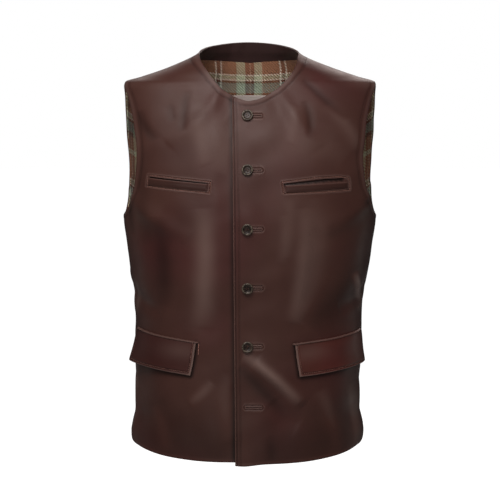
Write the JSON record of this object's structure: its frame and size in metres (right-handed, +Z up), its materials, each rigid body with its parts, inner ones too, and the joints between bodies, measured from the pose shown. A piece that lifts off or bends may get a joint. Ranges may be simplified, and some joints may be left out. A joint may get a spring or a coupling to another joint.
{
  "type": "leather vest",
  "caption": "Collarless leather waistcoat, buttoned up, with welt pockets on the chest, flap pockets on the hips, side vents and a checked lining, filled out as when it is worn.",
  "frame": {"origin": "midway between the middles of the two shoulder seams, where a wearer's shoulders carry the garment", "axes": "+Z up to the neck, -Y to the buttoned front, +X to the wearer's left"},
  "size_m": [0.4, 0.2559, 0.65],
  "materials": {
    "leather": "satin",
    "flap_leather": "satin",
    "facing_leather": "matte",
    "checked_wool": "matte",
    "label_cloth": "matte",
    "horn": "gloss",
    "thread": "matte"
  },
  "bodies": {
    "root": {"front_left": "leather", "front_right": "leather", "back": "leather", "welt_chest_left": "leather", "welt_chest_right": "leather", "flap_left": "flap_leather", "flap_right": "flap_leather", "back_neck_facing": "facing_leather", "back_lining": "checked_wool", "label": "label_cloth", "button_1": "horn", "button_2": "horn", "button_3": "horn", "button_4": "horn", "button_5": "horn", "shank_1": "thread", "shank_2": "thread", "shank_3": "thread", "shank_4": "thread", "shank_5": "thread"}
  },
  "joints": []
}
